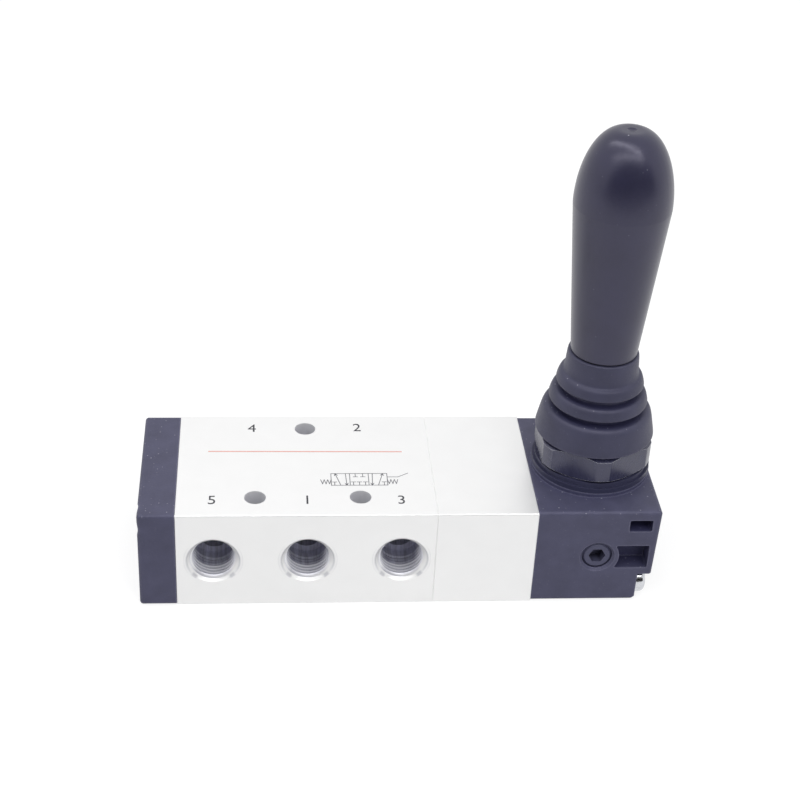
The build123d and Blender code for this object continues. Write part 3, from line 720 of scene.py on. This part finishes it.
# %% Rubbed edges
def make_edge_group():
    """A mask along edges, where a rounded normal would differ from the real one: for a paler line
    that is partly rub and partly painted highlight.
    """
    group, given = new_group("edge_rub_and_highlight", Radius=0.0003, Gain=3.0, Scale=1500.0)
    rounded = add_node(group, "ShaderNodeBevel", {"Radius": given["Radius"]}, samples=4)
    true = add_node(group, "ShaderNodeNewGeometry").outputs["Normal"]
    match = add_node(group, "ShaderNodeVectorMath", {0: rounded.outputs["Normal"], 1: true},
                     operation="DOT_PRODUCT").outputs["Value"]
    edge = product(group, math_node(group, "SUBTRACT", 1.0, match), given["Gain"])
    patch = add_node(group, "ShaderNodeTexNoise", {"Vector": object_place(group),
                     "Scale": given["Scale"], "Detail": 3.0}).outputs["Fac"]
    uneven = map_range(group, patch, 0.35, 0.65, 0.35, 1.0)
    return close_group(group, Mask=product(group, edge, uneven, clamp=True))


edge_rub_and_highlight = make_edge_group()

# %% Shade in creases
def make_crease_group():
    """0 in the open, towards 1 deep in a pocket or a fold: the mask for painted shade there."""
    group, given = new_group("crease_shade", Reach=0.004, Gain=1.2)
    openness = add_node(group, "ShaderNodeAmbientOcclusion", {"Distance": given["Reach"]},
                        samples=8, only_local=True).outputs["AO"]
    closed = map_range(group, openness, 0.92, 0.2)
    return close_group(group, Mask=product(group, closed, given["Gain"], clamp=True))


crease_shade = make_crease_group()

# %% Fine streaks
def make_streak_group():
    """Fine lines: noise squeezed by its own scale along each axis."""
    group, given = new_group("fine_streaks", X=100.0, Y=100.0, Z=100.0)
    squeeze = add_node(group, "ShaderNodeCombineXYZ", {axis: given[axis] for axis in "XYZ"})
    stretched = add_node(group, "ShaderNodeVectorMath", {0: object_place(group),
                         1: squeeze.outputs["Vector"]}, operation="MULTIPLY").outputs["Vector"]
    lines = add_node(group, "ShaderNodeTexNoise", {"Vector": stretched, "Scale": 1.0,
                     "Detail": 4.0, "Roughness": 0.7}).outputs["Fac"]
    return close_group(group, Height=lines)


fine_streaks = make_streak_group()

# %% [markdown]
# ## Finishes
# Every finish starts from the same small recipe: a base colour, a mix of a second colour by
# a mask, and a bump from a height. One flat colour would look like a toy, because a real
# surface is never quite even. The shader's own sockets hold what is the same all over.

# %% The parts of a material
def new_finish(name, metallic=0.0, specular=0.5):
    """A material with a Principled shader; returns the material, its tree and the shader."""
    material = bpy.data.materials.new(name)
    material.use_nodes = True
    tree = material.node_tree
    shader = tree.nodes["Principled BSDF"]
    shader.inputs["Metallic"].default_value = metallic
    shader.inputs["Specular IOR Level"].default_value = specular
    return material, tree, shader


def use_group(tree, group, **values):
    """Place a node group with its own values; returns its outputs."""
    return add_node(tree, "ShaderNodeGroup", values, node_tree=group).outputs


def toned(tree, colour, tone):
    """A colour made lighter or darker by a tone around 1."""
    return add_node(tree, "ShaderNodeVectorMath", {0: colour, 1: tone},
                    operation="MULTIPLY").outputs["Vector"]


def rgba(colour):
    """A colour as a socket takes it: three numbers get an alpha of 1."""
    return colour if isinstance(colour, bpy.types.NodeSocket) else (*colour, 1.0)


def mixed(tree, mask, first, second):
    """One colour where the mask is 0, another where it is 1; inputs 6 and 7 are colours."""
    return add_node(tree, "ShaderNodeMix", {0: mask, 6: rgba(first), 7: rgba(second)},
                    data_type="RGBA").outputs[2]


def dress(tree, shader, colour, height, sheen, depth, strength=1.0):
    """Link the colour, and let one height drive both the roughness and the bump."""
    tree.links.new(colour, shader.inputs["Base Color"])
    tree.links.new(from_noise(tree, height, *sheen), shader.inputs["Roughness"])
    relief = add_node(tree, "ShaderNodeBump", {"Height": height, "Distance": depth,
                      "Strength": strength})
    tree.links.new(relief.outputs["Normal"], shader.inputs["Normal"])


def paint(material, *names):
    """Give a finish to CAD nodes and new pieces by name."""
    for name in names:
        piece = nodes[name] if name in nodes else bpy.data.objects[name]
        if not piece.material_slots:
            piece.data.materials.append(material)
        for slot in piece.material_slots:
            slot.material = material
    print(material.name, "on", ", ".join(names))


print("groups ready:", ", ".join(group.name for group in bpy.data.node_groups))

# %% [markdown]
# ### Satin aluminium
# The blocks are drawn, sawn, blasted and clear anodised: nearly white, with a fine even
# grain and a soft sheen. Tools leave faint rings round each port. Painted shade darkens the
# holes and creases, and in each port it grows with depth: darker thread roots, then a dark
# bore, less on the lit side walls, and a lighter painted tone at the far end that makes up
# for light lost so deep. Rings this faint could be cut into the mesh, but then each would
# need hundreds of faces. So the same material draws them from the distance to the port's
# axis.

# %% Distance from the ports
front_reach = 24.4 * MM


def make_port_group():
    """Where a point lies by the nearest port: distance from its axis and depth, both in mm,
    how far it is to the side rather than above or below, and whether it is below."""
    group, given = new_group("port_places")
    place = add_node(group, "ShaderNodeSeparateXYZ", {"Vector": object_place(group)}).outputs
    behind = math_node(group, "GREATER_THAN", place["Y"], 0.0)
    from_p = math_node(group, "SUBTRACT", place["X"], port_p)
    shift = product(group, behind, port_pitch / 2)
    shifted = math_node(group, "ADD", from_p, shift)
    across = math_node(group, "PINGPONG", shifted, port_pitch / 2)
    upward = math_node(group, "SUBTRACT", place["Z"], axis_z)
    flat = add_node(group, "ShaderNodeCombineXYZ", {"X": across, "Y": upward})
    radius = add_node(group, "ShaderNodeVectorMath", {0: flat.outputs["Vector"]},
                      operation="LENGTH").outputs["Value"]
    reach = math_node(group, "SUBTRACT", front_reach, shift)
    beyond = math_node(group, "GREATER_THAN", math_node(group, "ABSOLUTE", from_p), reach)
    far = math_node(group, "ADD", radius, beyond)
    inward = math_node(group, "SUBTRACT", body_high.y, math_node(group, "ABSOLUTE", place["Y"]))
    side = math_node(group, "DIVIDE", across, math_node(group, "MAXIMUM", radius, 0.1 * MM))
    return close_group(group, Distance=math_node(group, "DIVIDE", far, MM),
                       Depth=math_node(group, "DIVIDE", inward, MM), Side=side,
                       Low=math_node(group, "LESS_THAN", upward, 0.0))


port_places = make_port_group()

# %% Marks round the ports and tones inside them
def band(tree, value, low, high, soft):
    """1 between two values, falling to 0 over a soft edge on both sides."""
    rise = map_range(tree, value, low - soft, low)
    fall = map_range(tree, value, high, high + soft, 1.0, 0.0)
    return product(tree, rise, fall)


def port_marks(tree, port):
    """Two tool rings and two short ticks round each mouth, on the outer face only."""
    on_face = map_range(tree, port["Depth"], 0.3, 0.6, 1.0, 0.0)
    sideways = map_range(tree, port["Side"], 0.75, 0.98)
    inner_ring = product(tree, band(tree, port["Distance"], 5.2, 5.3, 0.25), 0.42)
    outer_ring = product(tree, band(tree, port["Distance"], 5.75, 5.8, 0.2), 0.15)
    rings = product(tree, math_node(tree, "ADD", inner_ring, outer_ring), sideways)
    corner = band(tree, port["Side"], 0.66, 0.76, 0.07)
    tick = product(tree, corner, band(tree, port["Distance"], 5.05, 5.4, 0.3), port["Low"], 0.55)
    return product(tree, math_node(tree, "MAXIMUM", rings, tick), on_face)


def bore_painted_shade(tree, port, colour):
    """Painted shade by depth: the thread with darker roots, then a dark bore, then a lighter tone
    at its end that makes up for light lost so deep.
    """
    # The side walls near the mouth are lit, so they keep less of the painted shade.
    middle = map_range(tree, port["Side"], 0.72, 0.88, 1.0, 0.2)
    inside = product(tree, map_range(tree, port["Distance"], 5.2, 5.0), middle)
    root = map_range(tree, port["Distance"], 4.30, 4.62)
    thread = mixed(tree, root, (0.86, 0.86, 0.92), (0.40, 0.40, 0.47))
    lines = use_group(tree, fine_streaks, X=1400.0, Y=120.0, Z=120.0)
    streak = map_range(tree, lines["Height"], 0.35, 0.65, 0.78, 1.35)
    bore = toned(tree, (0.30, 0.30, 0.38), streak)
    # Past the dark bore a lighter painted tone makes up for light lost so deep in the hole.
    bore_end = toned(tree, (0.46, 0.46, 0.56), streak)
    for start, full, tone in ((0.5, 1.0, thread), (3.6, 4.6, bore), (5.8, 6.6, bore_end)):
        there = product(tree, map_range(tree, port["Depth"], start, full), inside)
        colour = mixed(tree, there, colour, tone)
    return colour


print("marks reach", round(front_reach / MM, 1), "mm to each side of the middle port")

# %% Aluminium
def make_aluminium(name, with_ports):
    """Satin anodised aluminium with painted shade in its holes and creases; where it has ports,
    tool rings and painted shade that grows with depth in each bore.
    """
    material, tree, shader = new_finish(name, metallic=0.6)
    grain = use_group(tree, fine_grain, Scale=3600.0, Drift=0.008)
    rub_and_highlight = use_group(tree, edge_rub_and_highlight, Radius=0.0002, Gain=0.5, Scale=1800.0)
    crease = use_group(tree, crease_shade, Reach=0.003, Gain=1.0)
    colour = toned(tree, (0.90, 0.90, 0.90), grain["Tone"])
    # A barely paler edge, partly rub and partly painted highlight; then painted shade, a cool
    # grey, in holes and creases.
    colour = mixed(tree, rub_and_highlight["Mask"], colour, (0.92, 0.92, 0.92))
    colour = mixed(tree, crease["Mask"], colour, (0.60, 0.61, 0.78))
    if with_ports:
        port = use_group(tree, port_places)
        colour = mixed(tree, port_marks(tree, port), colour, (0.42, 0.42, 0.47))
        colour = bore_painted_shade(tree, port, colour)
    dress(tree, shader, colour, grain["Height"], sheen=(0.40, 0.50), depth=1e-5, strength=0.5)
    return material


satin_aluminium = make_aluminium("satin_aluminium", with_ports=False)
paint(satin_aluminium, "centring_block")
ported_aluminium = make_aluminium("ported_aluminium", with_ports=True)
paint(ported_aluminium, "threaded_body", "valve_body")

# %% [markdown]
# ### Black mouldings
# The cap and the lever housing are glass filled nylon: black with a cool cast, a fine
# spark eroded texture, a few specks of dust, painted shade in the pockets, and a paler line
# along the edges that is partly rub and partly painted highlight. The handle is smoother and
# glossier, and the boot is dull rubber with painted shade in its folds and a painted
# highlight on the lips of its rings. All are one recipe with different values, built from
# noise: an image of grain would repeat, and blur close up.

# %% Mouldings
def make_moulding(name, base, dusty, roughness, grain_scale, grain_depth, dust_share, rub_and_highlight_gain,
                  rub_and_highlight_radius=0.00025, specular=0.5, sheen_change=0.06):
    """A black moulding with its grain and dust, painted shade in its creases, and paler edges
    that are partly rub and partly painted highlight.
    """
    material, tree, shader = new_finish(name, specular=specular)
    shader.inputs["Specular Tint"].default_value = (0.86, 0.84, 1.0, 1.0)
    grain = use_group(tree, fine_grain, Scale=grain_scale, Drift=0.12)
    rub_and_highlight = use_group(tree, edge_rub_and_highlight, Radius=rub_and_highlight_radius, Gain=rub_and_highlight_gain, Scale=1500.0)
    dust = use_group(tree, dust_specks, Scale=1300.0, Size=0.18, Share=dust_share, Sideways=0.12)
    crease = use_group(tree, crease_shade, Reach=0.005, Gain=1.1)
    # Painted shade in pockets and folds, and a paler edge line that is partly rub and partly
    # painted highlight.
    shaded = (0.6 * base[0], 0.6 * base[1], 0.85 * base[2])
    rubbed_and_lit = tuple(1.5 * c + 0.045 for c in base)
    colour = toned(tree, base, grain["Tone"])
    colour = mixed(tree, crease["Mask"], colour, shaded)
    colour = mixed(tree, rub_and_highlight["Mask"], colour, rubbed_and_lit)
    colour = mixed(tree, dust["Mask"], colour, dusty)
    sheen = (roughness - sheen_change, roughness + sheen_change)
    dress(tree, shader, colour, grain["Height"], sheen, grain_depth)
    return material


# On the cap and housing the strong edge mask paints a highlight along the edges as well as rub,
# and the crease mask paints shade in the pockets.
black_moulding = make_moulding("black_moulding", (0.060, 0.0605, 0.106), (0.27, 0.27, 0.33),
                               roughness=0.52, grain_scale=3800.0, grain_depth=2e-5,
                               dust_share=0.38, rub_and_highlight_gain=6.0, rub_and_highlight_radius=0.0006)
paint(black_moulding, "end_cap", "lever_housing")
handle_plastic = make_moulding("handle_plastic", (0.021, 0.0205, 0.046), (0.30, 0.30, 0.36),
                               roughness=0.30, grain_scale=2400.0, grain_depth=5e-7,
                               dust_share=0.05, rub_and_highlight_gain=0.5, specular=0.66, sheen_change=0.02)
paint(handle_plastic, "lever_handle")
# On the boot the edge mask paints a highlight along the lips of its rings, and the crease mask
# paints shade in the folds between them.
boot_rubber = make_moulding("boot_rubber", (0.040, 0.0405, 0.073), (0.22, 0.22, 0.28),
                            roughness=0.50, grain_scale=3000.0, grain_depth=1e-5,
                            dust_share=0.35, rub_and_highlight_gain=6.0, rub_and_highlight_radius=0.0006)
paint(boot_rubber, "rubber_boot", "boot")

# %% [markdown]
# ### Steels, bronze and seals
# The nut and its washers are blackened steel with a soft gloss. The screws are bright
# zinc plate, and the turned and ground pieces inside show fine lines along their making.
# The shader can stretch its highlight for such lines, but it would not show the lines. So
# they are noise squeezed along one axis, which also drives the roughness and the bump.
# Blackened steel is an oxide, so it is made as a glossy dark coat and not as bare metal.
# Each metal gets painted shade in its creases and a paler edge, partly rub and partly
# painted highlight; on the nut that edge is bright, partly worn oxide and partly a painted
# glint.

# %% Metals
def make_metal(name, base, roughness, streaks, depth=4e-6, metallic=1.0, specular=0.5,
               rub_and_highlight_to=None, rub_and_highlight_gain=2.0):
    """A metal with fine streaks in its tone, its roughness and its surface, painted shade in
    creases, and paler edges that are partly rub and partly painted highlight.
    """
    material, tree, shader = new_finish(name, metallic, specular)
    if metallic == 0.0:
        shader.inputs["Specular Tint"].default_value = (0.86, 0.86, 1.0, 1.0)
    lines = use_group(tree, fine_streaks, X=streaks[0], Y=streaks[1], Z=streaks[2])
    rub_and_highlight = use_group(tree, edge_rub_and_highlight, Radius=0.0002, Gain=rub_and_highlight_gain, Scale=2500.0)
    crease = use_group(tree, crease_shade, Reach=0.0015, Gain=1.3)
    # Painted shade in creases, and a paler edge that is partly rub and partly painted highlight.
    shaded = tuple(0.25 * c for c in base)
    rubbed_and_lit = rub_and_highlight_to or tuple(min(1.0, 1.2 * c) for c in base)
    colour = toned(tree, base, from_noise(tree, lines["Height"], 0.88, 1.12))
    colour = mixed(tree, crease["Mask"], colour, shaded)
    colour = mixed(tree, rub_and_highlight["Mask"], colour, rubbed_and_lit)
    sheen = (0.8 * roughness, 1.2 * roughness)
    dress(tree, shader, colour, lines["Height"], sheen, depth)
    return material


# The nut's bright edges are partly worn oxide and partly a painted glint on its chamfers.
black_steel = make_metal("black_steel", (0.024, 0.0245, 0.055), 0.25, (900, 900, 300), depth=3e-7,
                         metallic=0.0, specular=0.85, rub_and_highlight_to=(0.45, 0.45, 0.50), rub_and_highlight_gain=5.0)
paint(black_steel, "collar_nut", "neck_nut")
dull_black_steel = make_metal("dull_black_steel", (0.030, 0.031, 0.064), 0.45, (2500, 2500, 2500),
                              metallic=0.0, specular=0.35, rub_and_highlight_to=(0.09, 0.09, 0.14))
paint(dull_black_steel, "neck_washer", "lock_washer")
blued_steel = make_metal("blued_steel", (0.066, 0.067, 0.115), 0.42, (2500, 2500, 2500),
                         metallic=0.0, specular=0.4, rub_and_highlight_to=(0.12, 0.12, 0.17))
paint(blued_steel, "guide_screws")

# %% Bright steels and bronze
zinc_steel = make_metal("zinc_steel", (0.62, 0.63, 0.66), 0.20, (1500, 1500, 1500))
paint(zinc_steel, "housing_pan_screws", "cap_pan_screws", "housing_screws", "end_cap_screws",
      "spring_seats")
ground_steel = make_metal("ground_steel", (0.60, 0.60, 0.62), 0.22, (6000, 300, 300))
paint(ground_steel, "spool", "lever_rod", "drive_yoke", "pivot_pin")
spring_steel = make_metal("spring_steel", (0.52, 0.52, 0.54), 0.30, (3000, 3000, 3000))
paint(spring_steel, "inner_spring", "outer_spring", "centring_spring_inner",
      "centring_spring_outer", "collar_clip", "yoke_pin")
turned_bronze = make_metal("turned_bronze", (0.70, 0.48, 0.24), 0.32, (6000, 400, 400))
paint(turned_bronze, "centring_collar", "handle_insert", "lever_bush", "rod_bush")

# %% Seals
seal_rubber = make_moulding("seal_rubber", (0.022, 0.022, 0.022), (0.2, 0.2, 0.2),
                            roughness=0.48, grain_scale=2500.0, grain_depth=8e-6,
                            dust_share=0.02, rub_and_highlight_gain=0.8)
paint(seal_rubber, "spool_seals", "end_seals")

# %% [markdown]
# ### Inks
# The print is pad ink: thin and matt, and where grains of the blasted metal stand up it
# did not take. A flat colour would look like a sticker. So where fine noise is high, the
# ink fades to a paler tone, as if the metal showed through.

# %% Inks
def make_ink(name, base, pale):
    """Thin ink with small gaps where it did not take."""
    material, tree, shader = new_finish(name)
    shader.inputs["Roughness"].default_value = 0.6
    grain = use_group(tree, fine_grain, Scale=5000.0)
    thin = map_range(tree, grain["Height"], 0.58, 0.72)
    tree.links.new(mixed(tree, thin, base, pale), shader.inputs["Base Color"])
    return material


dark_ink = make_ink("dark_ink", (0.03, 0.03, 0.04), (0.35, 0.35, 0.37))
paint(dark_ink, "port_numbers")
grey_ink = make_ink("grey_ink", (0.12, 0.12, 0.14), (0.45, 0.45, 0.47))
paint(grey_ink, "valve_symbol")
red_ink = make_ink("red_ink", (0.74, 0.34, 0.30), (0.84, 0.66, 0.64))
paint(red_ink, "red_line")

# %% [markdown]
# ## Floor and light
# The valve stands on white card in a light tent. Card all round is what gives satin metal
# its even, nearly white sheen. The world is that tent: white where the camera or a
# reflection looks, a little dimmer as a lamp. The floor adds a glow of its own for the
# camera, so open card is white while the valve still leaves a faint shadow. A tent has an
# opening in front, and the smooth handle shows it as one large soft dark patch. Lamps alone
# would give hard highlights, so three weak ones only add direction: two long tubes above,
# and a front lamp that the gloss of the handle does not show.

# %% Floor
def direct_look(tree):
    """1 for rays from the camera, a reflection or a clear body; 0 for soft light."""
    path = add_node(tree, "ShaderNodeLightPath").outputs
    look = math_node(tree, "MAXIMUM", path["Is Camera Ray"], path["Is Glossy Ray"])
    return math_node(tree, "MAXIMUM", look, path["Is Transmission Ray"])


def glossy_only(tree, value):
    """A value that counts only for reflections."""
    path = add_node(tree, "ShaderNodeLightPath").outputs
    return product(tree, value, path["Is Glossy Ray"])


card_grey = (0.34, 0.34, 0.34)
card_glow = 0.74
glow_full_y = -0.30
glow_gone_y = -0.36

bpy.ops.mesh.primitive_plane_add(size=6, location=(0, 0, -0.02 * MM))
floor = newest("floor")
bpy.ops.object.transform_apply()
card = bpy.data.materials.new("white_card")
card.use_nodes = True
card_tree = card.node_tree
card_tree.nodes.clear()
matt = add_node(card_tree, "ShaderNodeBsdfDiffuse", {"Color": rgba(card_grey)})
card_y = add_node(card_tree, "ShaderNodeSeparateXYZ", {"Vector": object_place(card_tree)})
past_edge = map_range(card_tree, card_y.outputs["Y"], glow_full_y, glow_gone_y)
glow_left = map_range(card_tree, glossy_only(card_tree, past_edge), 0.0, 1.0, card_glow, 0.0)
glow = add_node(card_tree, "ShaderNodeEmission", {"Color": (1, 1, 1, 1),
                "Strength": product(card_tree, direct_look(card_tree), glow_left)})
both = add_node(card_tree, "ShaderNodeAddShader", {0: matt.outputs[0], 1: glow.outputs[0]})
add_node(card_tree, "ShaderNodeOutputMaterial", {"Surface": both.outputs[0]})
floor.data.materials.append(card)
print("floor of", round(floor.dimensions.x, 1), "m with", len(card_tree.nodes), "nodes")

# %% The tent
tent_as_lamp = 0.62
opening_towards = (0.05, -1.0, 0.0)
opening_flattened = (1.0, 1.0, 2.1)
opening_outer = math.cos(math.radians(64))
opening_inner = math.cos(math.radians(54))
opening_brightness = 0.02

world = bpy.data.worlds.new("light_tent")
bpy.context.scene.world = world
world.use_nodes = True
tent = world.node_tree
looking = add_node(tent, "ShaderNodeTexCoord").outputs["Generated"]
flattened = add_node(tent, "ShaderNodeVectorMath", {0: looking, 1: opening_flattened},
                     operation="MULTIPLY").outputs["Vector"]
flattened = add_node(tent, "ShaderNodeVectorMath", {0: flattened},
                     operation="NORMALIZE").outputs["Vector"]
toward = add_node(tent, "ShaderNodeVectorMath", {0: flattened, 1: opening_towards},
                  operation="DOT_PRODUCT").outputs["Value"]
opening = glossy_only(tent, map_range(tent, toward, opening_outer, opening_inner))
bright = map_range(tent, direct_look(tent), 0.0, 1.0, tent_as_lamp, 1.0)
strength = product(tent, bright, map_range(tent, opening, 0.0, 1.0, 1.0, opening_brightness))
tent.nodes["Background"].inputs["Color"].default_value = (1, 1, 1, 1)
tent.links.new(strength, tent.nodes["Background"].inputs["Strength"])
print("tent with", len(tent.nodes), "nodes")

# %% Lamps
def add_lamp(name, place, aim, size, power):
    """A rectangular area lamp that looks at a point; places and sizes in metres."""
    data = bpy.data.lights.new(name, "AREA")
    data.shape = "RECTANGLE"
    data.size, data.size_y = size
    data.energy = power
    lamp = bpy.data.objects.new(name, data)
    lamp.location = place
    lamp.rotation_euler = (Vector(aim) - Vector(place)).to_track_quat("-Z", "Y").to_euler()
    bpy.context.scene.collection.objects.link(lamp)
    return lamp


block_centre = (0.0, 0.0, 0.02)
tube_size = (1.10, 0.05)
add_lamp("back_tube", (-0.08, -0.10, 0.62), block_centre, tube_size, 1.6)
add_lamp("front_tube", (-0.08, -0.42, 0.56), block_centre, tube_size, 1.0)
front_lamp = add_lamp("front_lamp", (0.35, -0.60, 0.25), (0.03, 0, 0.02), (0.50, 0.50), 1.0)
front_lamp.visible_glossy = False
bpy.context.scene.view_settings.view_transform = "Standard"
